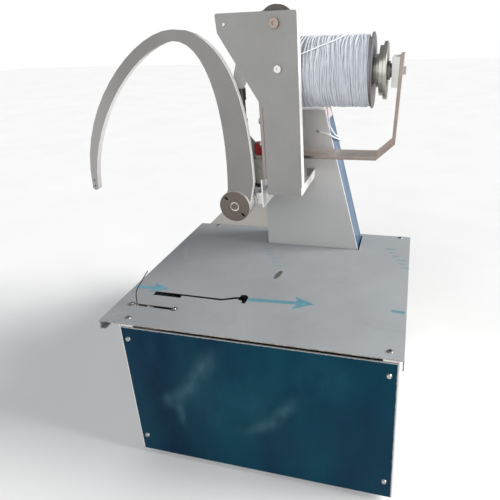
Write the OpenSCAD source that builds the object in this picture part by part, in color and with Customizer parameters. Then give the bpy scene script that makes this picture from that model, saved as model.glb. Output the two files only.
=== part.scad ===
// Ball winder: a cabinet with a tapered column, a head with guide wheels, a spool of
// elastic cord and a curved laying arm. Millimetres, +Z up, +Y towards the back.
// Inside the modules x runs from the top plate's left edge, y from its front edge and
// z from its upper surface; from_plate() shifts that to the middle of the footprint.

/* [Cabinet] */
// Width of the top plate
plate_w = 500; // [495:1:505]
// Depth of the top plate
plate_d = 419; // [417:1:422]
// Thickness of the sheet of the top plate
plate_t = 2; // [1.5:0.5:2]
// Height of the top plate above the bench
deck_h = 297; // [290:1:310]
// Overhang of the top plate at the left
overhang = 34.5; // [32:0.5:36]
// Height of the turned-down lips of the top plate
lip_h = 17; // [14:1:20]
// Thickness of the cabinet's sheet
sheet = 1.5; // [1:0.5:1.5]
// Height of the rubber feet
foot_h = 11; // [9:1:14]
// Depth of the rear housing
rear_d = 185; // [150:1:190]

/* [Column and head] */
// Height of the column above the top plate
column_h = 293; // [288:1:296]
// Left side of the column
column_x = 197; // [196:0.5:198]
// Front of the column
column_y = 339; // [338:0.5:340]
// Depth of the column
column_d = 68; // [60:1:70]
// Front face of the head plate
head_y = 217; // [216.5:0.5:217.5]
// Height of the top edge of the head plate
head_top = 469; // [467:1:472]
// Radius of the upper guide wheel
wheel_r = 28; // [26:0.5:29]

/* [Spool] */
// Height of the spool's axis above the plate
spool_z = 367; // [366:0.5:368]
// Place of the spool's axis, front to back
spool_y = 302; // [301.5:0.5:302.5]
// Radius of the spool's flanges
flange_r = 64; // [63.5:0.5:64]
// Radius of the wound cord
wound_r = 62; // [60:0.5:62]

/* [Laying arm] */
// Thickness of the arm
arm_t = 12; // [10:0.5:12]
// Front face of the arm
arm_y = 204.5; // [204.5:0.1:204.5]
// Radius of the hub disc
hub_r = 29; // [28:0.5:29]

/* [Hidden] */

$fn = 64;
fit = 0.05;
cab_x = overhang;
cab_w = plate_w - overhang - 6;
cab_right = cab_x + cab_w;
cab_bottom = foot_h - deck_h;
under = -plate_t;
rear_y = plate_d + 1.5;
arm_left = -122.5;
mid_x = (arm_left + plate_w) / 2;
inlet_proud = 2.5;
mid_y = (rear_y + rear_d + inlet_proud) / 2;
rear_left = 21.5;
rear_right = 342;
cab_back = plate_d - 1.5;

// laying arm hub, on an axis along y
hub_x = 182;
hub_z = 140;
shaft_r = 8;

// column: its right side slopes in towards the top
column_foot = 393;
column_top = 326;
slope = (column_foot - column_top) / column_h;
column_drop = 42;
film_top = 22;

// head plate bolts
up_bolt = [269, 451];
low_bolt = [271.5, 380.5];
guide_at = [183, 452];
up_wheel_y = 226;
low_wheel_y = 222.5;
cheek_x = 233.5;
cheek_t = 6;
bracket_x = 229;

// spool along x
spool_left = 262;
spool_right = 418;
flange_t = 3;
bar_t = 6;
bar_w = 52;
bar_z = 213;
lean = 3.3;
block_x = 452;

// slots of the top plate
slot_y = 55.5;
slot_a = 27.5;
slot_b = 112;

// post behind the arm
post_x = 187;
post_y = 263;

// feed cord: off the winding, once round the lower wheel, over the upper wheel, to the guide
feed_d = 2.2;
feed_route = [
    [380.5, 302, 430.5], [378, 291, 429.5], [370.5, 278, 426], [358, 268, 420.5],
    [345, 262, 416], [332, 256.5, 411.5], [319, 250.5, 406.5], [306, 245, 402],
    [294, 239.5, 397.5], [281, 234, 393], [269, 228.5, 389], [264.5, 228.5, 385.5],
    [263, 228.5, 380.5], [264, 228.7, 376], [267, 229, 373], [271.5, 229.3, 372],
    [276, 229.6, 373], [279, 230, 376], [280.5, 230.4, 381], [282, 230.9, 390],
    [284.5, 231.6, 402], [287, 232.4, 414], [289.5, 233.2, 426], [292, 233.8, 438],
    [294, 234, 448], [293, 234, 459], [288, 234, 468], [279.5, 234, 474.5], [269, 234, 476.5],
    [258, 234, 474], [245, 234, 470], [228, 234, 465], [211, 234, 460], [197, 234, 456],
    [187.8, 234, 453.5]];
// tail of cord: hangs in a loop from the winding and back to the screw on the column
tail_d = 2.8;
tail_route = [
    [330.5, 331.5, 311.5], [331.5, 333.5, 303], [332, 335, 295], [333, 335.5, 286],
    [334, 335.5, 277], [335, 335.5, 268.5], [336.5, 335.8, 262], [338.4, 340, 256.5],
    [339.2, 350, 250], [340.8, 359, 243], [342.3, 369, 237.5], [343.8, 381, 232.5],
    [344.8, 393, 228.5], [345.2, 404, 226], [342.6, 410.6, 224.2], [335, 412.5, 220],
    [327, 412.5, 215], [321, 412.5, 209], [321, 412.5, 202], [328, 412.5, 198.5],
    [335, 412.5, 202], [341, 412, 210], [344.8, 408.8, 218], [345.6, 399, 221.5],
    [345.3, 386, 225.5], [344.3, 372, 230], [342.8, 358, 234.8], [341.8, 346, 239],
    [339.5, 337.5, 243], [334, 335.6, 246], [326, 335.5, 248.5],
    [315.5, 335.5, 251]];
cord_screw_at = [311.5, 251];

module from_plate() translate([-mid_x, -mid_y, deck_h]) children();

// ---- shared shapes ----
function curve(p, n) = [for (i = [0 : n]) let (t = i / n, s = 1 - t)
    s * s * s * p[0] + 3 * s * s * t * p[1] + 3 * s * t * t * p[2] + t * t * t * p[3]];
function flip(list) = [for (i = [len(list) - 1 : -1 : 0]) list[i]];
function unit(v) = v / norm(v);
function heading(route, i) = unit(
    i == 0 ? route[1] - route[0] :
    i == len(route) - 1 ? route[i] - route[i - 1] : route[i + 1] - route[i - 1]);
function side(route, i) = i == 0
    ? unit(cross(heading(route, 0), [0, 1, 0.02]))
    : let (h = heading(route, i), s = side(route, i - 1)) unit(s - (s * h) * h);

module along_x(x, y, z) translate([x, y, z]) rotate([0, 90, 0]) children();
module along_y(x, y, z) translate([x, y, z]) rotate([-90, 0, 0]) children();
module upright(y, t) translate([0, y + t, 0]) rotate([90, 0, 0]) linear_extrude(t) children();
module box(a, b) translate(a) cube(b - a);

module ring(r, hole_r, t) difference() {
    cylinder(r = r, h = t);
    translate([0, 0, -1]) cylinder(r = hole_r, h = t + 2);
}

module pan_screw(head_r, head_t, shank_r, shank_l) {
    difference() {
        cylinder(r1 = head_r, r2 = head_r * 0.72, h = head_t);
        for (a = [0, 90]) rotate(a)
            translate([-head_r * 0.5, -0.6, head_t - 1.2]) cube([head_r, 1.2, 2]);
    }
    translate([0, 0, -shank_l]) cylinder(r = shank_r, h = shank_l);
}

module hex_bolt(flats, head_t, shank_r, shank_l) {
    rotate(30) cylinder(d = flats / cos(30), h = head_t, $fn = 6);
    translate([0, 0, -shank_l]) cylinder(r = shank_r, h = shank_l);
}

module socket_bolt(head_r, head_t, shank_r, shank_l) {
    difference() {
        cylinder(r = head_r, h = head_t);
        translate([0, 0, head_t * 0.45]) cylinder(r = head_r * 0.45, h = head_t, $fn = 6);
    }
    translate([0, 0, -shank_l]) cylinder(r = shank_r, h = shank_l);
}

module tube(route, d, sides = 8) {
    rings = len(route);
    points = [for (i = [0 : rings - 1])
        let (h = heading(route, i), a = side(route, i), b = cross(h, a))
        for (k = [0 : sides - 1])
            route[i] + d / 2 * (cos(360 * k / sides) * a + sin(360 * k / sides) * b)];
    faces = concat(
        [[for (k = [0 : sides - 1]) k]],
        [for (i = [0 : rings - 2]) for (k = [0 : sides - 1]) let (n = (k + 1) % sides)
            [i * sides + k, (i + 1) * sides + k, (i + 1) * sides + n, i * sides + n]],
        [[for (k = [sides - 1 : -1 : 0]) (rings - 1) * sides + k]]);
    polyhedron(points = points, faces = faces);
}

// ---- cabinet ----
panel_y = 5;
panel_t = 2;
panel_x = cab_x + sheet;
panel_w = cab_w - 2 * sheet;
panel_top = -11;
panel_bottom = cab_bottom + 0.5;
panel_holes = [for (x = [panel_x + 10.5, panel_x + panel_w - 12.5])
    for (z = [panel_top - 23.5, panel_bottom + 34.5]) [x, z]];

module front_panel() color("steelblue") from_plate() difference() {
    box([panel_x, panel_y, panel_bottom], [panel_x + panel_w, panel_y + panel_t, panel_top]);
    for (p = panel_holes) along_y(p[0], panel_y - 1, p[1]) cylinder(r = 2.6, h = 4);
}

module front_screws() color("silver") from_plate()
    for (p = panel_holes) along_y(p[0], panel_y, p[1])
        mirror([0, 0, 1]) pan_screw(4.5, 2.6, 2.5, panel_t + 10);

// side walls have a return behind the front panel with the screw holes
module side_wall(x, inward) {
    lip_x = inward > 0 ? x : x + sheet - 24;
    box([x, panel_y, cab_bottom], [x + sheet, cab_back, under]);
    difference() {
        box([lip_x, panel_y + panel_t, cab_bottom + sheet],
            [lip_x + 24, panel_y + panel_t + sheet, under]);
        for (p = panel_holes)
            along_y(p[0], panel_y, p[1]) cylinder(r = 2.6, h = 12);
    }
}

module side_panel_left() color("gainsboro") from_plate() side_wall(cab_x, 1);
module side_panel_right() color("gainsboro") from_plate() side_wall(cab_right - sheet, -1);

module back_panel() color("gainsboro") from_plate() difference() {
    box([cab_x + sheet, cab_back - sheet, cab_bottom + sheet],
        [cab_right - sheet, cab_back, under]);
    for (i = [0 : 7])
        box([410 + i * 8, cab_back - 5, -110], [413 + i * 8, cab_back + 5, -60]);
}

module bottom_tray() color("gainsboro") from_plate()
    box([cab_x + sheet, panel_y + panel_t, cab_bottom],
        [cab_right - sheet, cab_back, cab_bottom + sheet]);

foot_spots = concat(
    [for (x = [cab_x + 24, cab_right - 24]) for (y = [30, plate_d - 32]) [x, y]],
    [for (x = [cab_x + 24, rear_right - 24]) [x, rear_y + rear_d - 26]]);

module feet() color("black") from_plate()
    for (p = foot_spots) translate([p[0], p[1], -deck_h])
        cylinder(r1 = 9, r2 = 11, h = foot_h);

plate_screw_spots = [for (x = [46.5, plate_w - 21]) for (y = [16.5, plate_d - 7]) [x, y]];

module slot_hole(a, b, y, r) {
    for (x = [a, b]) translate([x, y, -5]) cylinder(r = r, h = 10);
    box([a, y - r, -5], [b, y + r, 5]);
}

module top_plate() color("lightsteelblue") from_plate() difference() {
    union() {
        box([0, 0, under], [plate_w, plate_d, 0]);
        box([0, 0, -lip_h], [plate_t, plate_d, 0]);
        box([0, 0, -lip_h], [9, plate_d, -lip_h + plate_t]);
        box([plate_w - plate_t, 0, -lip_h - 1.5], [plate_w, plate_d, 0]);
    }
    for (p = plate_screw_spots) translate([p[0], p[1], -5]) cylinder(r = 2.6, h = 10);
    // front slot for the feeler, and the rectangular slot behind it
    slot_hole(slot_a, slot_b, slot_y, 3.2);
    box([48.5, 91, -5], [105, 103, 5]);
    // saw cut on to the hook-shaped hole
    translate([0, 0, -5]) linear_extrude(10)
        polygon([[104, 98], [150, 97.5], [181, 97], [209, 108], [209, 115], [181, 102.5],
            [150, 102.5], [104, 103]]);
    translate([217, 113, -5]) cylinder(r = 9.5, h = 10);
    box([218, 96, -5], [226.5, 113, 5]);
    // clearance round the column
    box([column_x - 2, column_y - 2, -5], [column_foot + 3, column_y + column_d + 2, 5]);
}

module top_screws() color("silver") from_plate()
    for (p = plate_screw_spots) translate([p[0], p[1], 0]) pan_screw(4.8, 1.8, 2.5, 9);

module rear_housing() color("antiquewhite") from_plate() difference() {
    box([cab_x, rear_y, cab_bottom], [rear_right, rear_y + rear_d, under]);
    box([cab_x + sheet, rear_y + sheet, cab_bottom + sheet],
        [rear_right - sheet, rear_y + rear_d - sheet, 0]);
    for (i = [0 : 9])
        box([80 + i * 9, rear_y + rear_d - 5, -80], [83 + i * 9, rear_y + rear_d + 5, -30]);
    box([inlet_x - 14, rear_y + rear_d - 5, inlet_z - 10],
        [inlet_x + 14, rear_y + rear_d + 5, inlet_z + 10]);
}

module rear_lid() color("antiquewhite") from_plate() {
    box([rear_left, rear_y, under], [rear_right, rear_y + rear_d, 0]);
    box([rear_left, rear_y, -lip_h], [rear_left + sheet, rear_y + rear_d, under]);
    for (y = [rear_y + sheet, rear_y + rear_d - 2 * sheet])
        box([cab_x + 10, y, -12], [rear_right - 10, y + sheet, under]);
}

inlet_x = 300;
inlet_z = -230;
module mains_inlet() color("dimgray") from_plate() translate([inlet_x, rear_y + rear_d, inlet_z])
    difference() {
        union() {
            box([-13.8, -22, -9.8], [13.8, 0, 9.8]);
            box([-20, 0, -14], [20, inlet_proud, 14]);
        }
        box([-11, -16, -6.5], [11, 5, 6.5]);
    }

beam_z = -column_drop - 4;
module cross_beam() color("slategray") from_plate() {
    box([cab_x + sheet, column_y - 10, beam_z],
        [cab_right - sheet, column_y + column_d + 4, beam_z + 4]);
    for (y = [column_y - 10, column_y + column_d])
        box([cab_x + sheet, y, beam_z - 30], [cab_right - sheet, y + 4, beam_z]);
}

module control_unit() color("darkgray") from_plate()
    box([80, 120, cab_bottom + sheet], [280, 260, cab_bottom + sheet + 90]);
module power_supply() color("silver") from_plate()
    box([320, 110, cab_bottom + sheet], [430, 300, cab_bottom + sheet + 50]);

// ---- column ----
module column_outline(inset, right) polygon([
    [column_x + inset, -column_drop], [column_foot + slope * column_drop + right, -column_drop],
    [column_top + right + slope * inset, column_h - inset], [column_x + inset, column_h - inset]]);

module column_shell() color("lightgray") from_plate() difference() {
    upright(column_y, column_d) column_outline(0, 0);
    upright(column_y + 2, column_d - 4) difference() {
        column_outline(2, 30);
        translate([column_x, -column_drop - 1]) square([5, 1]);
    }
    // open foot
    upright(column_y + 2, column_d - 4)
        translate([column_x + 2, -column_drop - 5]) square([300, 6]);
    // rounded top corner
    difference() {
        box([column_top - 11, column_y + 2, column_h - 12],
            [column_top + 10, column_y + column_d - 2, column_h + 5]);
        along_y(column_top - 11, column_y, column_h - 12) cylinder(r = 11.9, h = column_d);
    }
    along_y(cord_screw_at[0], column_y - 1, cord_screw_at[1]) cylinder(r = 1.5, h = 4);
}

module column_side_panel() color("cornflowerblue") from_plate()
    upright(column_y + 2, column_d - 4) polygon([
        [column_foot + slope * column_drop - 3, -column_drop],
        [column_foot + slope * column_drop - 1, -column_drop],
        [column_top - 1 + slope * film_top, column_h - film_top],
        [column_top - 3 + slope * film_top, column_h - film_top]]);

module column_corner() color("mistyrose") from_plate()
    upright(column_y + 2, column_d - 4) difference() {
        hull() {
            translate([column_top - 10.5, column_h - 12.5]) circle(r = 10);
            translate([column_top - 6 + slope * (film_top - 0.5), column_h - film_top + 0.5])
                square([5, 1]);
        }
        translate([column_top - 30, column_h - 2]) square([40, 10]);
    }

module column_screws() color("silver") from_plate()
    along_y(cord_screw_at[0], column_y, cord_screw_at[1])
        mirror([0, 0, 1]) pan_screw(3.2, 3, 1.5, 4);

// ---- head ----
module head_plate() color("silver") from_plate() difference() {
    union() {
        upright(head_y, 2) offset(r = 4) offset(delta = -4) polygon([
            [167.5, head_top], [306, head_top], [306, 175], [241, 175],
            [241, 316], [169.5, 439]]);
        box([304, head_y, 175], [306, head_y + 20, head_top - 3]);
    }
    along_y(up_bolt[0], head_y - 1, up_bolt[1]) cylinder(r = 5.1, h = 5);
    along_y(low_bolt[0], head_y - 1, low_bolt[1]) cylinder(r = 4.1, h = 5);
    along_y(guide_at[0], head_y - 1, guide_at[1]) cylinder(r = 2.1, h = 5);
}

module head_bracket() color("whitesmoke") from_plate() {
    box([241, head_y, 159], [305, head_y + 2, 175]);
    box([243, head_y + 2, 159], [303, head_y + 4, 205]);
    for (x = [241, 303]) box([x, head_y + 2, 159], [x + 2, column_y, 175]);
    for (x = [243, 288]) box([x, column_y - 2, 159], [x + 15, column_y, 175]);
}

module head_cheek() color("rosybrown") from_plate() difference() {
    union() {
        box([cheek_x, head_y + 3, 188], [cheek_x + cheek_t, column_y, 400]);
        box([cheek_x + cheek_t, column_y - 4, 190], [cheek_x + 24, column_y, 288]);
    }
    along_x(cheek_x - 1, spool_y, spool_z) cylinder(r = 10, h = cheek_t + 2);
    for (p = cheek_bolt_spots) along_x(cheek_x - 1, p[0], p[1]) cylinder(r = 3.1, h = cheek_t + 2);
}

cheek_bolt_spots = [[232, 250], [232, 292], [spool_y, 240], [spool_y, 280]];
module cheek_bolts() color("gray") from_plate() {
    for (p = cheek_bolt_spots) along_x(cheek_x, p[0], p[1])
        mirror([0, 0, 1]) hex_bolt(10, 5, 3, cheek_t);
    for (i = [2, 3]) along_x(cheek_x + cheek_t + bar_t, cheek_bolt_spots[i][0], cheek_bolt_spots[i][1])
        hex_bolt(10, 5, 3, bar_t);
}

module arm_bracket() color("whitesmoke") from_plate() {
    box([bracket_x, head_y, 133], [bracket_x + 3, column_y, 187]);
    box([bracket_x + 3, column_y - 3, 133], [241, column_y, 187]);
}

// guide wheel with a flat-bottomed groove between two sloping rims
module guide_wheel(r, groove_r, bore_r, w, rim) {
    slant = (r - groove_r) * 0.35;
    rotate_extrude($fn = 96) polygon([
        [bore_r, 0], [r - 1, 0], [r, 1], [r, rim], [groove_r, rim + slant],
        [groove_r, w - rim - slant], [r, w - rim], [r, w - 1], [r - 1, w], [bore_r, w]]);
}

module upper_wheel() color("dimgray") from_plate() along_y(up_bolt[0], up_wheel_y, up_bolt[1])
    guide_wheel(wheel_r, wheel_r - 4.8, 5 + fit, 16, 3);

module lower_wheel() color("dimgray") from_plate() along_y(low_bolt[0], low_wheel_y, low_bolt[1])
    guide_wheel(14, 6.9, 4 + fit, 14, 1.5);

module upper_wheel_bolt() color("peru") from_plate() {
    along_y(up_bolt[0], head_y, up_bolt[1]) mirror([0, 0, 1]) socket_bolt(8, 5, 5, 30);
    along_y(up_bolt[0], head_y + 2, up_bolt[1]) ring(8, 5, up_wheel_y - head_y - 2.5);
    along_y(up_bolt[0], up_wheel_y + 16.5, up_bolt[1]) difference() {
        cylinder(d = 17 / cos(30), h = 6, $fn = 6);
        translate([0, 0, -1]) cylinder(r = 5, h = 8);
    }
}

module lower_wheel_bolt() color("silver") from_plate() {
    along_y(low_bolt[0], head_y, low_bolt[1]) mirror([0, 0, 1]) socket_bolt(6, 5, 4, 22);
    along_y(low_bolt[0], head_y + 2, low_bolt[1]) ring(6.5, 4, 3);
    along_y(low_bolt[0], low_wheel_y + 14.3, low_bolt[1]) ring(6, 4, 2);
}

module left_guide() color("silver") from_plate() {
    along_y(guide_at[0], head_y, guide_at[1]) mirror([0, 0, 1]) pan_screw(3.2, 2.2, 2, 22);
    along_y(guide_at[0], head_y + 13, guide_at[1]) ring(4.5, 2, 8);
}

// ---- laying arm ----
arm_outer = concat(
    curve([[219, 184], [219, 300], [202, 448], [92, 448]], 14),
    curve([[92, 448], [20, 448], [-122, 320], [arm_left + 0.5, 165]], 14));
arm_inner = concat(
    curve([[168, 169], [178, 290], [160, 431], [92, 430]], 14),
    curve([[92, 430], [30, 428], [-100, 305], [-110, 160]], 14));
eyelet_spots = [[-115.8, 176], [-116.2, 164]];

module arm() color("silver") from_plate() difference() {
    upright(arm_y, arm_t) {
        polygon(concat(arm_outer, flip(arm_inner),
            [[hub_x - 27, hub_z], [hub_x, hub_z - 20], [hub_x + 27, hub_z]]));
        translate([hub_x, hub_z]) circle(r = 27);
        translate([arm_left + 6.5, 162]) circle(r = 6.5);
    }
    along_y(hub_x, arm_y - 1, hub_z) cylinder(r = shaft_r, h = arm_t + 2);
    for (p = eyelet_spots) along_y(p[0], arm_y - 1, p[1]) cylinder(r = 1.8, h = arm_t + 2);
}

module arm_eyelets() color("dimgray") from_plate()
    for (p = eyelet_spots) along_y(p[0], arm_y, p[1]) ring(1.8, 1, arm_t);

disc_t = 8;
module hub_disc() color("rosybrown") from_plate() along_y(hub_x, arm_y - disc_t, hub_z) difference() {
    cylinder(r = hub_r, h = disc_t);
    translate([0, 0, -1]) cylinder(r = 8.5, h = 4);
    translate([0, 0, -1]) cylinder(r = 4.1, h = disc_t + 2);
    for (a = [45, 225]) rotate(a) {
        for (r = [19.5, 23.5]) translate([r, 0, -1]) cylinder(r = 2, h = 5);
        translate([19.5, -2, -1]) cube([4, 4, 5]);
    }
}

module hub_screw() color("silver") from_plate() along_y(hub_x, arm_y - disc_t + 3, hub_z) {
    difference() {
        translate([0, 0, -3.5]) cylinder(r = 6.5, h = 3.5);
        translate([0, 0, -4]) cylinder(r = 3, h = 2.5, $fn = 6);
    }
    cylinder(r = 4, h = disc_t - 3);
}

module hub_shaft() color("silver") from_plate()
    along_y(hub_x, arm_y, hub_z) cylinder(r = shaft_r, h = 70);

housing_y = 217.5;
housing_l = 47.5;
module hub_housing() color("whitesmoke") from_plate() difference() {
    union() {
        along_y(hub_x, housing_y, hub_z) rotate_extrude($fn = 96) polygon([
            [0, 0], [28, 0], [29, 1], [29, 8], [25.5, 9.5], [25.5, 13], [28, 14.5], [28, 29],
            [26, 30.5], [26, 33], [28, 34.5], [28, housing_l], [0, housing_l]]);
        box([hub_x, housing_y + 10, 136], [bracket_x, housing_y + 42, 158]);
    }
    along_y(hub_x, housing_y - 1, hub_z) cylinder(r = 17.5, h = housing_l + 2);
}

module hub_bearings() color("gray") from_plate()
    for (y = [2, housing_l - 14]) along_y(hub_x, housing_y + y, hub_z)
        ring(17.5, shaft_r + fit, 12);

module arm_motor() color("dimgray") from_plate() difference() {
    union() {
        along_y(hub_x, housing_y + housing_l, hub_z) cylinder(r = 26, h = 8);
        along_y(hub_x, housing_y + housing_l + 8, hub_z) cylinder(r = 24, h = 58);
        along_y(hub_x, housing_y + housing_l + 66, hub_z) cylinder(r = 20, h = 6);
    }
    along_y(hub_x, housing_y + housing_l - 1, hub_z) cylinder(r = shaft_r + fit, h = 14);
}

// ---- post and regulator ----
post_base = 172;
module post_rod() color("silver") from_plate()
    translate([post_x, post_y, post_base]) cylinder(r = 6.5, h = 205);
module post_sleeve() color("darkgray") from_plate()
    translate([post_x, post_y, post_base + 8]) ring(8, 6.5, 110);
module post_collar() color("rosybrown") from_plate()
    translate([post_x, post_y, 324]) ring(8.5, 6.5, 21);

module post_lug() color("gainsboro") from_plate() {
    upright(post_y - 9.5, 3) polygon([[172, 345], [196, 345], [216, 392], [216, 428], [196, 428]]);
    along_y(206, head_y + 2, 416) cylinder(r = 6, h = post_y - 9.5 - head_y - 2);
}

module post_bracket() color("gainsboro") from_plate() difference() {
    union() {
        upright(post_y + 10, 3) polygon([[178, 176], [226, 189], [cheek_x, 190], [cheek_x, 236], [204, 243],
            [192, 257], [178, 262]]);
        box([178, post_y - 8, 164], [196, post_y + 13, post_base]);
        box([178, post_y + 10, 164], [196, post_y + 13, 180]);
    }
    translate([post_x, post_y, 160]) cylinder(r = 6.5, h = 8);
    along_y(hub_x, housing_y, hub_z) cylinder(r = 28.1, h = 60);
}

reg_x = 215;
reg_y = 262;
module regulator_body() color("tan") from_plate() {
    box([206, reg_y - 11, 178], [226, reg_y + 11, 216]);
    box([208, reg_y - 9, 168], [224, reg_y + 9, 178]);
    box([226, reg_y - 8, 192], [cheek_x, reg_y + 8, 210]);
    translate([reg_x, reg_y, 216]) cylinder(r = 7, h = 6);
    along_y(reg_x, reg_y - 14, 196) cylinder(r = 5, h = 4);
    translate([reg_x, reg_y, 222]) cylinder(r = 3, h = 12);
}

module regulator_knob() color("firebrick") from_plate() translate([reg_x, reg_y, 224]) difference() {
    union() {
        cylinder(r = 8.2, h = 22);
        for (a = [0 : 24 : 336]) rotate(a) translate([8.1, 0, 1]) cylinder(r = 0.9, h = 18, $fn = 16);
    }
    translate([0, 0, -1]) cylinder(r = 3 + fit, h = 12);
}

// ---- spool ----
module spool() color("dimgray") from_plate() {
    for (x = [spool_left, spool_right]) along_x(x, spool_y, spool_z) ring(flange_r, 20, flange_t);
    along_x(spool_left + flange_t, spool_y, spool_z)
        ring(24, 20, spool_right - spool_left - flange_t);
}

module cord_winding() color("white") from_plate()
    along_x(spool_left + flange_t, spool_y, spool_z)
        ring(wound_r, 24, spool_right - spool_left - flange_t);

module spool_shaft() color("darkgray") from_plate()
    along_x(220, spool_y, spool_z) cylinder(r = shaft_r, h = block_x + 6.5 - 220);

// stepped cone: nose in the spool's bore, steps growing outwards
cone_steps = [[19.5, 4], [21.5, 4], [28, 6], [42, 7], [48.5, 6]];
module stepped_cone(steps) difference() {
    rotate_extrude($fn = 96) polygon(concat([[0, 0]], [for (i = [0 : steps - 1]) each [
        [cone_steps[i][0], cone_start(i)], [cone_steps[i][0], cone_start(i + 1)]]],
        [[0, cone_start(steps)]]));
    translate([0, 0, -1]) cylinder(r = shaft_r, h = 40);
}
function cone_start(i) = i == 0 ? 0 : cone_start(i - 1) + cone_steps[i - 1][1];

module cone_right() color("darkkhaki") from_plate()
    along_x(spool_right + flange_t - 4, spool_y, spool_z) stepped_cone(5);
module cone_left() color("darkkhaki") from_plate()
    along_x(spool_left + 4, spool_y, spool_z) mirror([0, 0, 1]) stepped_cone(4);

nut_x = spool_right + flange_t - 4 + cone_start(5);
module lock_nut() color("dimgray") from_plate()
    along_x(nut_x, spool_y, spool_z) difference() {
        union() {
            cylinder(r = 16, h = 4.5, $fn = 6);
            translate([0, 0, 4.5]) cylinder(r = 12, h = block_x - nut_x - 5);
        }
        translate([0, 0, -1]) cylinder(r = shaft_r, h = 20);
    }

module shaft_bearing() color("gray") from_plate()
    along_x(cheek_x + cheek_t, spool_y, spool_z) difference() {
        union() {
            cylinder(r = 22, h = 3);
            cylinder(r = 15, h = 5);
        }
        translate([0, 0, -1]) cylinder(r = shaft_r + fit, h = 20);
    }

// bent flat bar: tab on the cheek, level leg, sloping leg, leaning upright leg
bar_in = [457, 245];
bar_top = 395;
bar_across = bar_t / cos(lean);
function on_leg(h) = [bar_in[0] + (h - bar_in[1]) * tan(lean), h];
module spool_bar() color("tan") from_plate() difference() {
    upright(spool_y - bar_w / 2, bar_w) polygon([
        [cheek_x + cheek_t, bar_z], [430, bar_z], on_leg(bar_in[1] - 2) + [bar_across, 0],
        on_leg(bar_top) + [bar_across, 0], on_leg(bar_top), bar_in,
        [428, bar_z + bar_t], [cheek_x + cheek_t + bar_t, bar_z + bar_t],
        [cheek_x + cheek_t + bar_t, 298], [cheek_x + cheek_t, 298]]);
    for (i = [2, 3]) along_x(cheek_x + cheek_t - 1, spool_y, cheek_bolt_spots[i][1])
        cylinder(r = 3.1, h = bar_t + 2);
    leg_bolt() translate([0, 0, -1]) cylinder(r = 4.1, h = bar_t + 3);
}

module leg_bolt() translate([on_leg(spool_z)[0], spool_y, spool_z])
    rotate([0, 90 + lean, 0]) children();

module bearing_block() color("white") from_plate() difference() {
    upright(spool_y - 25, 50) polygon([[block_x, 341], on_leg(341), on_leg(391), [block_x, 391]]);
    along_x(block_x - 1, spool_y, spool_z) cylinder(r = shaft_r + fit, h = 8.5);
    leg_bolt() translate([0, 0, -5]) cylinder(r = 4.1, h = 7);
}

module block_bolt() color("silver") from_plate() leg_bolt()
    translate([0, 0, bar_t]) hex_bolt(13, 5, 4, bar_t + 4);

// ---- feeler in the front slot ----
feeler_x = 39.5;
module feeler_slider() color("gray") from_plate() {
    box([cab_x + sheet + 0.7, slot_y - 7, -10], [feeler_x + 14, slot_y + 7, under - 0.3]);
    translate([feeler_x, slot_y, -9]) cylinder(r = 2, h = 9.5);
}

module feeler_wire() color("dimgray") from_plate() translate([feeler_x, slot_y, 0.5])
    tube([[0, 0, 0], [0.5, 0, 9], [1, 0, 18], [2.5, 0, 26], [7, 0.5, 35], [13.5, 1, 44],
        [22, 1.5, 56.5], [31, 2, 69]], 1.8);

module slot_screws() color("dimgray") from_plate()
    for (x = [slot_a + 1.5, slot_b]) translate([x, slot_y, 0]) {
        ring(5.4, 2.4, 1.2);
        translate([0, 0, 1.2]) pan_screw(3.6, 1.8, 2.4, 8);
    }

// ---- cord ----
module feed_cord() color("white") from_plate() tube(feed_route, feed_d);
module cord_tail() color("white") from_plate() tube(tail_route, tail_d);

front_panel();
front_screws();
side_panel_left();
side_panel_right();
back_panel();
bottom_tray();
feet();
top_plate();
top_screws();
rear_housing();
rear_lid();
cross_beam();
column_shell();
column_side_panel();
column_corner();
column_screws();
head_plate();
head_bracket();
head_cheek();
cheek_bolts();
arm_bracket();
upper_wheel();
upper_wheel_bolt();
lower_wheel();
lower_wheel_bolt();
left_guide();
arm();
arm_eyelets();
hub_disc();
hub_screw();
hub_shaft();
hub_housing();
hub_bearings();
arm_motor();
post_rod();
post_sleeve();
post_collar();
post_lug();
post_bracket();
regulator_body();
regulator_knob();
spool();
cord_winding();
spool_shaft();
cone_right();
cone_left();
lock_nut();
shaft_bearing();
bearing_block();
block_bolt();
spool_bar();
feeler_slider();
feeler_wire();
slot_screws();
control_unit();
power_supply();
mains_inlet();
feed_cord();
cord_tail();
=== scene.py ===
"""Looks of the ball winder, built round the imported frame. Metres, same frame as the CAD.

Places are given from the top plate: x from its left edge, y from its front edge and z from
its upper surface. at() turns them into the row frame.
"""
import math

import bpy
from mathutils import Matrix, Vector, noise


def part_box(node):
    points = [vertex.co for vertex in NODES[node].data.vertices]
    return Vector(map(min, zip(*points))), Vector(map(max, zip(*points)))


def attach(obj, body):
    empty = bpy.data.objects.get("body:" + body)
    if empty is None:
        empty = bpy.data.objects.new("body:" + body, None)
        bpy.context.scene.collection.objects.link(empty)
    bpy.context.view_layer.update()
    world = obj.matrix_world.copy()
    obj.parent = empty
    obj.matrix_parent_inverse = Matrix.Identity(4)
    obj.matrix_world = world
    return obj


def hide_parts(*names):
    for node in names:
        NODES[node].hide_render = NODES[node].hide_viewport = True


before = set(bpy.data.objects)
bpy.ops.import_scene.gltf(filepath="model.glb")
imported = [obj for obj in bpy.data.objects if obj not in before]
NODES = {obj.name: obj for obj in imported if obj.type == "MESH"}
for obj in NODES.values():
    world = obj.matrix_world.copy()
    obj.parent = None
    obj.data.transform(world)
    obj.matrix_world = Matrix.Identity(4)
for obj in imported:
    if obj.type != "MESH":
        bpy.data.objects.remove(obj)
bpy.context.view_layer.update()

PLATE_LOW, PLATE_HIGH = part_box("top_plate")
PLATE_CORNER = Vector((PLATE_LOW.x, PLATE_LOW.y, PLATE_HIGH.z))


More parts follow.
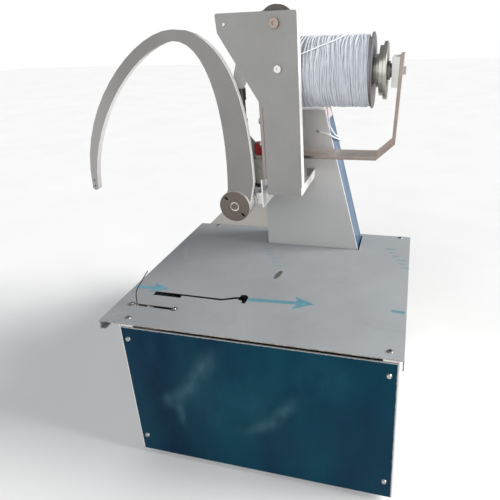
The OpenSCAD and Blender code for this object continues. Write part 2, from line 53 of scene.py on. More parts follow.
def at(x, y, z):
    """A place measured from the top plate, in the row frame."""
    return PLATE_CORNER + Vector((x, y, z))


# ---------------------------------------------------------------- camera
CAMERA_AT = (0.4936, -0.5563, 0.4489)
CAMERA_YAW = -0.2736
CAMERA_DOWN = 0.3847
CAMERA_ROLL = -0.0443
CAMERA_LENS = 33.74
CAMERA_SHIFT = (-0.0746, -0.0727)


def make_camera():
    ahead = Vector((
        math.sin(CAMERA_YAW) * math.cos(CAMERA_DOWN),
        math.cos(CAMERA_YAW) * math.cos(CAMERA_DOWN),
        -math.sin(CAMERA_DOWN)))
    level = Vector((math.cos(CAMERA_YAW), -math.sin(CAMERA_YAW), 0))
    above = level.cross(ahead)
    right = math.cos(CAMERA_ROLL) * level + math.sin(CAMERA_ROLL) * above
    up = math.cos(CAMERA_ROLL) * above - math.sin(CAMERA_ROLL) * level
    data = bpy.data.cameras.new("camera")
    data.lens = CAMERA_LENS
    data.sensor_width = 36
    data.shift_x, data.shift_y = CAMERA_SHIFT
    data.clip_start = 0.01
    camera = bpy.data.objects.new("camera", data)
    turn = Matrix((right, up, -ahead)).transposed().to_4x4()
    camera.matrix_world = Matrix.Translation(at(*CAMERA_AT)) @ turn
    bpy.context.collection.objects.link(camera)
    bpy.context.scene.camera = camera


make_camera()


# ---------------------------------------------------------------- mesh helpers
TURNED_STEPS = 64
SHARP_ANGLE = math.radians(35)
ROUNDED_ANGLE = math.radians(40)
WELD_GAP = 1e-5
ROUNDED_STEPS = 2
FLAT_WEIGHT = 80


def new_object(name, points, faces, smooth=True):
    mesh = bpy.data.meshes.new(name)
    mesh.from_pydata([tuple(p) for p in points], [], faces)
    mesh.validate()
    mesh.polygons.foreach_set("use_smooth", [smooth] * len(mesh.polygons))
    mesh.update()
    piece = bpy.data.objects.new(name, mesh)
    bpy.context.collection.objects.link(piece)
    return piece


def smooth_route(points, steps):
    """A Catmull-Rom curve through the points, with steps pieces between each pair."""
    points = [Vector(p) for p in points]
    ends = [2 * points[0] - points[1]] + points + [2 * points[-1] - points[-2]]
    route = []
    for i in range(1, len(ends) - 2):
        a, b, c, d = ends[i - 1:i + 3]
        for k in range(steps):
            t = k / steps
            route.append(0.5 * (
                2 * b + (c - a) * t + (2 * a - 5 * b + 4 * c - d) * t ** 2
                + (3 * b - a - 3 * c + d) * t ** 3))
    route.append(points[-1])
    return route


def tube(name, route, diameter, sides=10):
    """A closed tube along the route, with its length in diameters as u and its turn as v."""
    points = []
    faces = []
    loops = []
    across = None
    for i, centre in enumerate(route):
        after = route[min(i + 1, len(route) - 1)]
        before = route[max(i - 1, 0)]
        ahead = (after - before).normalized()
        across = ahead.orthogonal() if across is None else across - ahead * across.dot(ahead)
        across.normalize()
        beside = ahead.cross(across)
        for k in range(sides):
            turn = math.tau * k / sides
            outward = math.cos(turn) * across + math.sin(turn) * beside
            points.append(centre + diameter / 2 * outward)
    done = [0]
    for a, b in zip(route, route[1:]):
        done.append(done[-1] + (b - a).length / diameter)
    for i in range(len(route) - 1):
        for k in range(sides):
            n = (k + 1) % sides
            near, far = i * sides, (i + 1) * sides
            faces.append((near + k, near + n, far + n, far + k))
            v, w = k / sides, (k + 1) / sides
            loops += [(done[i], v), (done[i], w), (done[i + 1], w), (done[i + 1], v)]
    last = (len(route) - 1) * sides
    faces.append(tuple(range(sides - 1, -1, -1)))
    faces.append(tuple(last + k for k in range(sides)))
    loops += [(0, 0)] * (2 * sides)
    piece = new_object(name, points, faces)
    layer = piece.data.uv_layers.new(name="along")
    for loop, uv in zip(layer.data, loops):
        loop.uv = uv
    return piece


def slab(name, outline, low, high):
    """An upright-sided plate from an outline of (x, y) places on the top plate."""
    n = len(outline)
    points = [at(x, y, low) for x, y in outline] + [at(x, y, high) for x, y in outline]
    faces = [tuple(range(n - 1, -1, -1)), tuple(range(n, 2 * n))]
    faces += [(i, (i + 1) % n, n + (i + 1) % n, n + i) for i in range(n)]
    return new_object(name, points, faces, smooth=False)


def turned(name, start, axis, profile):
    """A body turned about an axis from start, with a profile of (distance along, radius)."""
    steps = TURNED_STEPS
    axis = Vector(axis).normalized()
    across = axis.orthogonal().normalized()
    beside = axis.cross(across)
    points, faces = [], []
    for along, radius in profile:
        for k in range(steps):
            turn = math.tau * k / steps
            outward = math.cos(turn) * across + math.sin(turn) * beside
            points.append(start + axis * along + radius * outward)
    for i in range(len(profile) - 1):
        for k in range(steps):
            n = (k + 1) % steps
            faces.append((i * steps + k, i * steps + n, (i + 1) * steps + n, (i + 1) * steps + k))
    faces.append(tuple(range(steps - 1, -1, -1)))
    faces.append(tuple((len(profile) - 1) * steps + k for k in range(steps)))
    piece = new_object(name, points, faces)
    piece.data.set_sharp_from_angle(angle=SHARP_ANGLE)
    return piece


def soften(piece, width):
    """Welds the imported faces together and rounds the sharp edges a little."""
    weld = piece.modifiers.new("weld", "WELD")
    weld.merge_threshold = WELD_GAP
    bevel = piece.modifiers.new("bevel", "BEVEL")
    bevel.width = width
    bevel.segments = ROUNDED_STEPS
    bevel.limit_method = "ANGLE"
    bevel.angle_limit = ROUNDED_ANGLE
    bevel.harden_normals = True
    flat = piece.modifiers.new("flat", "WEIGHTED_NORMAL")
    flat.weight = FLAT_WEIGHT


# ---------------------------------------------------------------- material helpers
class Paint:
    """A material with one Principled shader, and the nodes that feed it."""

    def __init__(self, name, rough=0.5, metal=0.0, **sockets):
        self.material = bpy.data.materials.new(name)
        self.material.use_nodes = True
        self.tree = self.material.node_tree
        self.shader = self.tree.nodes["Principled BSDF"]
        self.shader.inputs["Roughness"].default_value = rough
        self.shader.inputs["Metallic"].default_value = metal
        for socket, value in sockets.items():
            self.shader.inputs[socket.replace("_", " ")].default_value = value
        self.heights = []

    def node(self, kind, **settings):
        made = self.tree.nodes.new("ShaderNode" + kind)
        for key, value in settings.items():
            setattr(made, key, value)
        return made

    def link(self, source, target):
        self.tree.links.new(source, target)
        return source

    def place(self, scale, turn=(0, 0, 0)):
        """Object coordinates, stretched by scale and turned."""
        coordinates = self.node("TexCoord")
        mapping = self.node("Mapping")
        mapping.inputs["Scale"].default_value = scale
        mapping.inputs["Rotation"].default_value = turn
        self.link(coordinates.outputs["Object"], mapping.inputs["Vector"])
        return mapping.outputs["Vector"]

    def noise(self, scale, detail, rough=0.55, stretch=(1, 1, 1), turn=(0, 0, 0)):
        made = self.node("TexNoise")
        made.inputs["Scale"].default_value = scale
        made.inputs["Detail"].default_value = detail
        made.inputs["Roughness"].default_value = rough
        self.link(self.place(stretch, turn), made.inputs["Vector"])
        return made.outputs["Fac"]

    def math(self, operation, a, b=0.5):
        made = self.node("Math", operation=operation)
        for socket, value in zip(made.inputs, (a, b)):
            if isinstance(value, (int, float)):
                socket.default_value = value
            else:
                self.link(value, socket)
        return made.outputs["Value"]

    def spread(self, value, low, high, new_low=0.0, new_high=1.0):
        made = self.node("MapRange")
        self.link(value, made.inputs["Value"])
        numbers = {"From Min": low, "From Max": high, "To Min": new_low, "To Max": new_high}
        for name, number in numbers.items():
            made.inputs[name].default_value = number
        return made.outputs["Result"]

    def mix(self, factor, a, b):
        """Colour a where factor is 0 and b where it is 1. Either may be a plain colour."""
        made = self.node("Mix", data_type="RGBA")
        self.link(factor, made.inputs["Factor"])
        for socket, value in ((made.inputs[6], a), (made.inputs[7], b)):
            if isinstance(value, tuple):
                socket.default_value = (*value, 1)
            else:
                self.link(value, socket)
        return made.outputs[2]

    def axis(self, name):
        """An object coordinate, in metres."""
        coordinates = self.node("TexCoord")
        split = self.node("SeparateXYZ")
        self.link(coordinates.outputs["Object"], split.inputs["Vector"])
        return split.outputs[name]

    def facing(self, name):
        """How far the surface faces along an axis of the object, from -1 to 1."""
        coordinates = self.node("TexCoord")
        split = self.node("SeparateXYZ")
        self.link(coordinates.outputs["Normal"], split.inputs["Vector"])
        return split.outputs[name]

    def colour(self, value):
        self.link(value, self.shader.inputs["Base Color"])

    def roughness(self, value):
        self.link(value, self.shader.inputs["Roughness"])

    def bump(self, height, depth, strength=1.0):
        made = self.node("Bump")
        made.inputs["Strength"].default_value = strength
        made.inputs["Distance"].default_value = depth
        self.link(height, made.inputs["Height"])
        if self.heights:
            self.link(self.heights[-1], made.inputs["Normal"])
        self.heights.append(made.outputs["Normal"])
        self.link(made.outputs["Normal"], self.shader.inputs["Normal"])


def tint(colour, factor):
    return tuple(channel * factor for channel in colour)


def assign(material, *nodes):
    for node in nodes:
        piece = NODES[node]
        piece.data.materials.clear()
        piece.data.materials.append(material)


def give(piece, material, body):
    piece.data.materials.clear()
    piece.data.materials.append(material)
    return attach(piece, body)


# ---------------------------------------------------------------- cords
ROUTE_STEPS = 5
FEED_DIAMETER = 0.0022
FEED_ROUTE = [
    (0.3805, 0.302, 0.4305), (0.378, 0.291, 0.4295), (0.3705, 0.278, 0.426),
    (0.358, 0.268, 0.4205), (0.345, 0.262, 0.416), (0.332, 0.2565, 0.4115),
    (0.319, 0.2505, 0.4065), (0.306, 0.245, 0.402), (0.294, 0.2395, 0.3975),
    (0.281, 0.234, 0.393), (0.269, 0.2285, 0.389), (0.2645, 0.2285, 0.3855),
    (0.263, 0.2285, 0.3805), (0.264, 0.2287, 0.376), (0.267, 0.229, 0.373),
    (0.2715, 0.2293, 0.372), (0.276, 0.2296, 0.373), (0.279, 0.23, 0.376),
    (0.2805, 0.2304, 0.381), (0.282, 0.2309, 0.39), (0.2845, 0.2316, 0.402),
    (0.287, 0.2324, 0.414), (0.2895, 0.2332, 0.426), (0.292, 0.2338, 0.438),
    (0.294, 0.234, 0.448), (0.293, 0.234, 0.459), (0.288, 0.234, 0.468),
    (0.2795, 0.234, 0.4745), (0.269, 0.234, 0.4765), (0.258, 0.234, 0.474),
    (0.245, 0.234, 0.47), (0.228, 0.234, 0.465), (0.211, 0.234, 0.46),
    (0.197, 0.234, 0.456), (0.1878, 0.234, 0.4535)]
TAIL_DIAMETER = 0.0028
TAIL_ROUTE = [
    (0.3305, 0.3315, 0.3115), (0.3315, 0.3335, 0.303), (0.332, 0.335, 0.295),
    (0.333, 0.3355, 0.286), (0.334, 0.3355, 0.277), (0.335, 0.3355, 0.2685),
    (0.3365, 0.3358, 0.262), (0.3384, 0.34, 0.2565), (0.3392, 0.35, 0.25),
    (0.3408, 0.359, 0.243), (0.3423, 0.369, 0.2375), (0.3438, 0.381, 0.2325),
    (0.3448, 0.393, 0.2285), (0.3452, 0.404, 0.226), (0.3426, 0.4106, 0.2242),
    (0.335, 0.4125, 0.22), (0.327, 0.4125, 0.215), (0.321, 0.4125, 0.209),
    (0.321, 0.4125, 0.202), (0.328, 0.4125, 0.1985), (0.335, 0.4125, 0.202),
    (0.341, 0.412, 0.21), (0.3448, 0.4088, 0.218), (0.3456, 0.399, 0.2215),
    (0.3453, 0.386, 0.2255), (0.3443, 0.372, 0.23), (0.3428, 0.358, 0.2348),
    (0.3418, 0.346, 0.239), (0.3395, 0.3375, 0.243), (0.334, 0.3356, 0.246),
    (0.326, 0.3355, 0.2485), (0.3155, 0.3355, 0.251)]


def braided_cord(name, colour):
    """Fine braided elastic cord: slanting bundles both ways round, with a soft fuzz."""
    paint = Paint(name, rough=0.85, Sheen_Weight=0.25, Sheen_Roughness=0.5)
    coordinates = paint.node("UVMap", uv_map="along")
    waves = []
    for slant in (1, -1):
        mapping = paint.node("Mapping")
        mapping.inputs["Scale"].default_value = (1.1, 3 * slant, 1)
        paint.link(coordinates.outputs["UV"], mapping.inputs["Vector"])
        wave = paint.node("TexWave", wave_type="BANDS", bands_direction="DIAGONAL")
        wave.inputs["Scale"].default_value = 0.6
        paint.link(mapping.outputs["Vector"], wave.inputs["Vector"])
        waves.append(wave.outputs["Fac"])
    weave = paint.math("MAXIMUM", waves[0], waves[1])
    shade = paint.spread(paint.noise(90, 4), 0.3, 0.7)
    soft = paint.mix(shade, tint(colour, 0.86), colour)
    paint.colour(paint.mix(paint.spread(weave, 0.2, 0.9), tint(colour, 0.8), soft))
    paint.bump(weave, 0.00025, 0.6)
    paint.bump(paint.noise(2500, 2), 0.00008, 0.5)
    return paint.material


CORD_MATERIAL = braided_cord("white_cord", (0.62, 0.645, 0.70))


# a lighter copy of the same cord for the free cords: a painted highlight
CORD_WITH_PAINTED_LIGHT = braided_cord("bright_cord", (0.93, 0.94, 0.96))


def free_cord(name, route, diameter, node):
    path = smooth_route([at(*p) for p in route], ROUTE_STEPS)
    piece = tube(name, path, diameter)
    give(piece, CORD_WITH_PAINTED_LIGHT, "frame")
    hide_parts(node)
    return piece


free_cord("feed_line", FEED_ROUTE, FEED_DIAMETER, "feed_cord")
free_cord("tail_line", TAIL_ROUTE, TAIL_DIAMETER, "cord_tail")


# ---------------------------------------------------------------- materials
def brushed_metal(name, colour, rough, along="z", metal=0.9, right=None, fade=None):
    """Satin sheet or bar: fine brushing along one axis, cloudy patches and dust.

    right is the colour of the faces towards +X, a painted highlight for the side the light falls
    on. fade is (x, x, factor): from the first x to the second the colour changes from factor times
    its value to its own value.
    """
    paint = Paint(name, rough=rough, metal=metal)
    stretch = {"x": (0.02, 1, 1), "y": (1, 0.02, 1), "z": (1, 1, 0.02)}[along]
    fine = paint.noise(1400, 2, stretch=stretch)
    cloudy = paint.noise(14, 4)
    dusty = paint.noise(140, 3)
    wear_and_painted_light = paint.mix(paint.spread(cloudy, 0.35, 0.7), tint(colour, 0.88), colour)
    wear_and_painted_light = paint.mix(paint.spread(dusty, 0.55, 0.8, 0, 0.35), wear_and_painted_light, tint(colour, 0.8))
    if fade:
        near, far, factor = fade
        wear_and_painted_light = paint.mix(paint.spread(paint.axis("X"), near, far), tint(colour, factor), wear_and_painted_light)
    # painted highlight: faces towards +X take the lighter right colour
    if right:
        wear_and_painted_light = paint.mix(paint.spread(paint.facing("X"), 0.35, 0.6), wear_and_painted_light, right)
    paint.colour(wear_and_painted_light)
    half_fine = paint.math("MULTIPLY", fine, 0.5)
    half_cloudy = paint.math("MULTIPLY", cloudy, 0.5)
    mixed = paint.math("ADD", half_fine, half_cloudy)
    paint.roughness(paint.spread(mixed, 0.3, 0.7, rough - 0.08, rough + 0.1))
    paint.bump(fine, 0.00006, 0.5)
    return paint.material


RINGS_PER_METRE = 900


def machined(name, colour, rough, centre, axis, mark=0.4, metal=0.95, side=None,
             face=None, hollows=()):
    """A turned face: rings round an axis through centre. side is the colour of its rim, a painted
    highlight.

    hollows are rings of (inner radius, outer radius, colour) for what lies beyond face; that colour
    paints the light and shade in the recess.
    """
    paint = Paint(name, rough=rough, metal=metal, Anisotropic=0.5)
    coordinates = paint.node("TexCoord")
    mapping = paint.node("Mapping")
    mapping.inputs["Location"].default_value = -Vector(centre)
    paint.link(coordinates.outputs["Object"], mapping.inputs["Vector"])
    flat = paint.node("VectorMath", operation="MULTIPLY")
    flat.inputs[1].default_value = {"x": (0, 1, 1), "y": (1, 0, 1), "z": (1, 1, 0)}[axis]
    paint.link(mapping.outputs["Vector"], flat.inputs[0])
    length = paint.node("VectorMath", operation="LENGTH")
    paint.link(flat.outputs["Vector"], length.inputs[0])
    radius = length.outputs["Value"]
    ring = paint.math("SINE", paint.math("MULTIPLY", radius, math.tau * RINGS_PER_METRE))
    band = paint.node("TexNoise", noise_dimensions="1D")
    band.inputs["Scale"].default_value = 420
    band.inputs["Detail"].default_value = 4
    paint.link(radius, band.inputs["W"])
    marks = band.outputs["Fac"]
    speckle = paint.noise(60, 4)
    toned = paint.mix(paint.spread(marks, 0.35, 0.65), tint(colour, 1 - mark), tint(colour, 1.08))
    wear_and_painted_light = paint.mix(paint.spread(speckle, 0.5, 0.75, 0, 0.3), toned, tint(colour, 0.6))
    # painted highlight: the rim faces take the side colour
    if side:
        flat = paint.math("GREATER_THAN", paint.math("ABSOLUTE", paint.facing(axis.upper())), 0.8)
        wear_and_painted_light = paint.mix(flat, side, wear_and_painted_light)
    # painted light: the recess rings beyond face take their given colour, as painted shade and
    # painted highlight
    for inner, outer, shade in hollows:
        outside = paint.math("GREATER_THAN", radius, inner)
        within = paint.math("MULTIPLY", outside, paint.math("LESS_THAN", radius, outer))
        deep = paint.math("GREATER_THAN", paint.axis(axis.upper()), face)
        wear_and_painted_light = paint.mix(paint.math("MULTIPLY", within, deep), wear_and_painted_light, shade)
    paint.colour(wear_and_painted_light)
    paint.roughness(paint.spread(marks, 0.3, 0.7, rough - 0.05, rough + 0.1))
    paint.bump(ring, 0.00002, 0.3)
    return paint.material


def plastic(name, colour, rough):
    """Moulded plastic with a fine grain and a little handling shine."""
    paint = Paint(name, rough=rough)
    cloudy = paint.noise(30, 4)
    mottle = paint.spread(cloudy, 0.3, 0.7)
    paint.colour(paint.mix(mottle, tint(colour, 0.88), tint(colour, 1.05)))
    paint.roughness(paint.spread(cloudy, 0.3, 0.7, rough - 0.06, rough + 0.08))
    paint.bump(paint.noise(1800, 2), 0.00005, 0.5)
    return paint.material


def powder_coat(name, colour, rough=0.5):
    """Painted sheet metal with a fine orange-peel skin, dust and rubbed spots."""
    paint = Paint(name, rough=rough, Coat_Weight=0.15, Coat_Roughness=0.3)
    cloudy = paint.noise(7, 5)
    dust = paint.noise(230, 4)
    base = paint.mix(paint.spread(cloudy, 0.3, 0.7), tint(colour, 0.93), tint(colour, 1.04))
    paint.colour(paint.mix(paint.spread(dust, 0.62, 0.8, 0, 0.5), base, tint(colour, 0.75)))
    paint.roughness(paint.spread(dust, 0.35, 0.7, rough - 0.05, rough + 0.1))
    paint.bump(paint.noise(900, 2), 0.00006, 0.5)
    return paint.material


def flange_plastic():
    """The spool's dark plastic: grey above, reddish brown below, with light scuffs."""
    paint = Paint("spool_grey", rough=0.35)
    low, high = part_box("spool")
    above = paint.spread(paint.axis("Z"), low.z + 0.04, high.z - 0.045)
    toned = paint.mix(above, (0.12, 0.075, 0.07), (0.13, 0.125, 0.135))
    scuff = paint.spread(paint.noise(70, 5, 0.65, stretch=(1, 1, 0.3)), 0.52, 0.75, 0, 0.6)
    paint.colour(paint.mix(scuff, toned, (0.26, 0.25, 0.255)))
    paint.roughness(paint.spread(paint.noise(40, 4), 0.3, 0.7, 0.28, 0.45))
    paint.bump(paint.noise(1500, 2), 0.00005, 0.5)
    return paint.material


def bar_metal():
    """The bent bar: warm stainless on its flats, darker brown on its front and back edges."""
    paint = Paint("stainless_bar", rough=0.28, metal=0.75)
    fine = paint.noise(1200, 2, stretch=(0.02, 1, 0.02))
    cloudy = paint.spread(paint.noise(16, 4), 0.35, 0.7)
    flat = paint.mix(cloudy, (0.60, 0.50, 0.44), (0.72, 0.64, 0.59))
    edge = paint.mix(cloudy, (0.24, 0.195, 0.17), (0.34, 0.29, 0.26))
    sideways = paint.math("GREATER_THAN", paint.math("ABSOLUTE", paint.facing("Y")), 0.6)
    sloping = paint.math("LESS_THAN", paint.math("ABSOLUTE", paint.facing("X")), 0.85)
    past_bend = paint.spread(paint.axis("X"), at(0.42, 0, 0).x, at(0.432, 0, 0).x)
    warm = paint.math("MULTIPLY", sloping, past_bend)
    toned = paint.mix(warm, flat, (0.74, 0.52, 0.40))
    paint.colour(paint.mix(sideways, toned, edge))
    paint.roughness(paint.spread(fine, 0.3, 0.7, 0.22, 0.36))
    paint.bump(fine, 0.00005, 0.4)
    return paint.material


def column_paint():
    """The column's grey paint, lighter towards the top: a painted highlight that lifts the shade
    under the spool.
    """
    paint = Paint("column_grey", rough=0.42, Coat_Weight=0.15, Coat_Roughness=0.3)
    foot = at(0, 0, 0.1).z
    top = at(0, 0, 0.25).z
    # painted highlight: the grey gets lighter from foot to top
    height = paint.spread(paint.axis("Z"), foot, top)
    grey = paint.mix(height, (0.44, 0.44, 0.435), (0.66, 0.645, 0.635))
    dust = paint.spread(paint.noise(230, 4), 0.6, 0.8, 0, 0.4)
    cloud = paint.spread(paint.noise(7, 5), 0.35, 0.65, 0, 0.25)
    paint.colour(paint.mix(dust, paint.mix(cloud, grey, (0.40, 0.395, 0.39)), (0.36, 0.36, 0.35)))
    paint.bump(paint.noise(900, 2), 0.00006, 0.5)
    return paint.material


def rubber(name):
    """Black rubber with pale dust."""
    paint = Paint(name, rough=0.75)
    dust = paint.spread(paint.noise(160, 5), 0.45, 0.75, 0, 0.6)
    paint.colour(paint.mix(dust, (0.012, 0.012, 0.013), (0.05, 0.048, 0.045)))
    paint.bump(paint.noise(1500, 3), 0.0001, 0.6)
    return paint.material


STEEL_EDGE = (0.34, 0.30, 0.27)
# smears on the front panel: place across and up as shares of the panel, lean, width, reach
WISPS = [
    (0.27, 0.68, 0.75, 0.030, 0.085),
    (0.17, 0.42, -0.1, 0.014, 0.045),
    (0.58, 0.48, 0.9, 0.028, 0.06)]


def wisp(paint, centre, slope, width, reach):
    """A mask for a wavy smear through centre that leans by slope, as wide and long as given."""
    wave = paint.math("MULTIPLY", paint.math("SUBTRACT", paint.noise(12, 1), 0.5), 0.06)
    x = paint.math("SUBTRACT", paint.axis("X"), centre.x)
    z = paint.math("SUBTRACT", paint.axis("Z"), centre.z)
    lean = paint.math("SUBTRACT", x, paint.math("MULTIPLY", z, slope))
    off = paint.math("ABSOLUTE", paint.math("ADD", lean, wave))
    beside = paint.spread(off, 0, width, 1, 0)
    along = paint.spread(paint.math("ABSOLUTE", z), reach * 0.35, reach, 1, 0)
    grain = paint.spread(paint.noise(30, 3, 0.5, stretch=(1, 1, 0.5)), 0.3, 0.75)
    return paint.math("MULTIPLY", paint.math("MULTIPLY", beside, along), grain)


def blue_film():
    """Deep blue protective film over brushed sheet: soft smears, fine grain, a bare cut edge."""
    paint = Paint("deep_blue_film", rough=0.38, Specular_IOR_Level=0.06)
    low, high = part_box("front_panel")
    drift = paint.noise(7, 3, stretch=(1, 1, 0.35))
    shade = paint.spread(drift, 0.35, 0.65)
    deep = paint.mix(shade, (0.0006, 0.018, 0.044), (0.0015, 0.045, 0.072))
    streak = paint.noise(9, 5, 0.6, stretch=(1, 1, 0.6), turn=(0, 0.7, 0))
    smear = paint.spread(streak, 0.56, 0.8, 0, 0.5)
    smeared = paint.mix(smear, deep, (0.012, 0.075, 0.11))
    size = high - low
    for u, v, slope, width, reach in WISPS:
        centre = Vector((low.x + u * size.x, 0, low.z + v * size.z))
        mask = paint.math("MULTIPLY", wisp(paint, centre, slope, width, reach), 0.5)
        smeared = paint.mix(mask, smeared, (0.075, 0.17, 0.21))
    speck = paint.spread(paint.noise(520, 3), 0.62, 0.75, 0, 0.5)
    filmed = paint.mix(speck, smeared, (0.012, 0.06, 0.09))
    ragged = paint.math("MULTIPLY", paint.noise(260, 4), 0.0028)
    from_right = paint.math("SUBTRACT", high.x, paint.axis("X"))
    from_top = paint.math("SUBTRACT", high.z, paint.axis("Z"))
    inward = paint.math("MINIMUM", from_right, from_top)
    bare = paint.math("LESS_THAN", inward, ragged)
    paint.colour(paint.mix(bare, filmed, (0.36, 0.36, 0.35)))
    paint.roughness(paint.spread(drift, 0.3, 0.7, 0.26, 0.42))
    paint.bump(paint.noise(1100, 2, stretch=(1, 1, 0.05)), 0.00005, 0.5)
    paint.bump(paint.noise(22, 3), 0.0003, 0.1)
    return paint.material


def pale_film():
    """Pale blue-grey film on the top plate: smudges, fine creases, and bare brownish cut edges. It
    is painted darker towards its left as painted shade, and its cut edges behind the front edge are
    painted near black as painted shade.
    """
    paint = Paint("pale_film", rough=0.34, Specular_IOR_Level=0.4)
    cloudy = paint.noise(6, 5, 0.6)
    # painted shade: the film is darker towards the left of the plate
    across = paint.spread(paint.axis("X"), PLATE_LOW.x + 0.08, PLATE_HIGH.x - 0.1)
    dark = paint.mix(across, (0.245, 0.253, 0.263), (0.325, 0.343, 0.355))
    light = paint.mix(across, (0.285, 0.297, 0.31), (0.375, 0.397, 0.415))
    cool = paint.mix(paint.spread(cloudy, 0.35, 0.65), dark, light)
    smudge = paint.spread(paint.noise(26, 6, 0.7, stretch=(0.5, 1, 1)), 0.58, 0.8, 0, 0.35)
    smudged = paint.mix(smudge, cool, (0.24, 0.25, 0.27))
    crease = paint.node("TexVoronoi", feature="DISTANCE_TO_EDGE")
    crease.inputs["Scale"].default_value = 5
    paint.link(paint.place((1.6, 0.7, 1)), crease.inputs["Vector"])
    fold = paint.spread(crease.outputs["Distance"], 0, 0.012, 1, 0)
    gap = paint.spread(paint.noise(11, 2), 0.5, 0.62)
    ridge = paint.math("MULTIPLY", paint.math("MULTIPLY", fold, gap), 0.3)
    creased = paint.mix(ridge, smudged, (0.36, 0.39, 0.41))
    wear_and_painted_light = paint.spread(paint.noise(120, 4), 0.4, 0.65)
    edge = paint.mix(wear_and_painted_light, tint(STEEL_EDGE, 0.6), tint(STEEL_EDGE, 1.25))
    # painted shade: cut edges further back than the front edge, such as the slot walls, are near
    # black
    painted_shade_behind_front = paint.math("GREATER_THAN", paint.axis("Y"), PLATE_LOW.y + 0.01)
    edge = paint.mix(painted_shade_behind_front, edge, (0.02, 0.018, 0.017))
    flat = paint.math("GREATER_THAN", paint.math("ABSOLUTE", paint.facing("Z")), 0.7)
    sideways = paint.math("GREATER_THAN", paint.math("ABSOLUTE", paint.facing("X")), 0.7)
    filmed = paint.math("MAXIMUM", flat, sideways)
    paint.colour(paint.mix(filmed, edge, creased))
    paint.roughness(paint.spread(cloudy, 0.3, 0.7, 0.28, 0.42))
    paint.bump(paint.noise(18, 3), 0.0008, 0.15)
    paint.bump(fold, 0.0001, 0.25)
    return paint.material


def side_film():
    """Mid-blue film on the column's side, with light vertical streaks and a peeled front edge."""
    paint = Paint("streaked_blue_film", rough=0.35, Specular_IOR_Level=0.3)
    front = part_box("column_side_panel")[0].y
    streak = paint.noise(60, 5, 0.6, stretch=(1, 1, 0.06))
    blue = paint.mix(paint.spread(streak, 0.35, 0.7), (0.030, 0.080, 0.155), (0.075, 0.140, 0.220))
    light = paint.spread(paint.noise(34, 4, stretch=(1, 1, 0.12)), 0.58, 0.72, 0, 0.6)
    streaked = paint.mix(light, blue, (0.20, 0.26, 0.36))
    ragged = paint.math("ADD", paint.math("MULTIPLY", paint.noise(45, 4), 0.006), 0.005)
    inward = paint.math("SUBTRACT", paint.axis("Y"), front)
    bare = paint.math("LESS_THAN", inward, ragged)
    paint.colour(paint.mix(bare, streaked, (0.66, 0.66, 0.67)))
    paint.bump(paint.noise(30, 3), 0.0006, 0.2)
    return paint.material


def middle(node):
    """The middle of a node's box."""
    low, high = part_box(node)
    return (low + high) / 2


def paint_cabinet():
    steel = brushed_metal("screw_steel", (0.62, 0.60, 0.57), 0.28)
    dull = brushed_metal("dull_screw", (0.25, 0.24, 0.235), 0.4)
    beige = powder_coat("beige_coat", (0.35, 0.33, 0.31))
    inner = powder_coat("inner_grey", (0.1, 0.1, 0.1), 0.6)
    white = powder_coat("white_coat", (0.72, 0.72, 0.71))
    assign(blue_film(), "front_panel")
    assign(pale_film(), "top_plate")
    assign(steel, "front_screws", "column_screws", "block_bolt", "left_guide", "lower_wheel_bolt")
    assign(dull, "top_screws", "slot_screws")
    assign(white, "side_panel_left", "side_panel_right", "back_panel", "bottom_tray",
           "arm_bracket", "post_bracket", "post_lug")
    assign(beige, "rear_housing", "rear_lid")
    assign(inner, "cross_beam", "control_unit", "power_supply")
    assign(rubber("foot_rubber"), "feet")
    assign(plastic("inlet_black", (0.02, 0.02, 0.022), 0.4), "mains_inlet")


def paint_column_and_head():
    # the faces towards +X get a near-white colour: a painted highlight where the light from the
    # right falls on the flange
    head = brushed_metal(
        "head_grey_satin", (0.282, 0.277, 0.268), 0.45, "x", metal=0.1, right=(0.8, 0.785, 0.77))
    assign(column_paint(), "column_shell")
    assign(side_film(), "column_side_panel")
    assign(powder_coat("pinkish_white", (0.56, 0.49, 0.48)), "column_corner")
    assign(head, "head_plate", "head_bracket")
    assign(brushed_metal("cheek_brown", (0.30, 0.27, 0.25), 0.38), "head_cheek")
    assign(brushed_metal("copper_bolt", (0.27, 0.215, 0.18), 0.3), "upper_wheel_bolt")
    for wheel in ("upper_wheel", "lower_wheel"):
        dark = machined(
            wheel + "_turned", (0.10, 0.09, 0.08), 0.4, middle(wheel), "y", metal=0.6)
        assign(dark, wheel)


def paint_arm_and_post():
    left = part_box("arm")[0].x
    hub = middle("hub_disc")
    hub_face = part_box("hub_disc")[0].y + 0.0006
    # painted highlight: the screw recess ring is near white
    screw_recess_highlight = (0.0066, 0.0092, (0.85, 0.82, 0.78))
    # painted shade: the spanner slots are near black
    spanner_slot_shade = (0.016, 0.0268, (0.008, 0.007, 0.006))
    # the arm's faces towards +X get a near-white colour: a painted highlight along its right side
    assign(brushed_metal(
        "arm_satin", (0.238, 0.225, 0.217), 0.42, "x", metal=0.1,
        right=(0.85, 0.84, 0.83), fade=(left + 0.03, left + 0.12, 1.35)), "arm")
    assign(plastic("eyelet_dark", (0.03, 0.03, 0.03), 0.35), "arm_eyelets")
    # the hub disc's rim gets a bright side colour: a painted highlight
    assign(machined(
        "hub_brown", (0.20, 0.165, 0.145), 0.4, hub, "y", side=(0.85, 0.84, 0.82),
        face=hub_face, hollows=[screw_recess_highlight, spanner_slot_shade]), "hub_disc", "hub_screw")
    assign(machined(
        "hub_aluminium", (0.72, 0.72, 0.71), 0.22, hub, "y", mark=0.15), "hub_housing")
    assign(plastic("motor_dark", (0.03, 0.03, 0.032), 0.4), "arm_motor")
    assign(brushed_metal("sleeve_grey", (0.36, 0.36, 0.37), 0.35), "post_sleeve")
    assign(brushed_metal("collar_brown", (0.25, 0.21, 0.20), 0.35), "post_collar")
    assign(plastic("regulator_beige", (0.50, 0.48, 0.42), 0.35), "regulator_body")
    assign(plastic("knob_red", (0.40, 0.003, 0.014), 0.35), "regulator_knob")


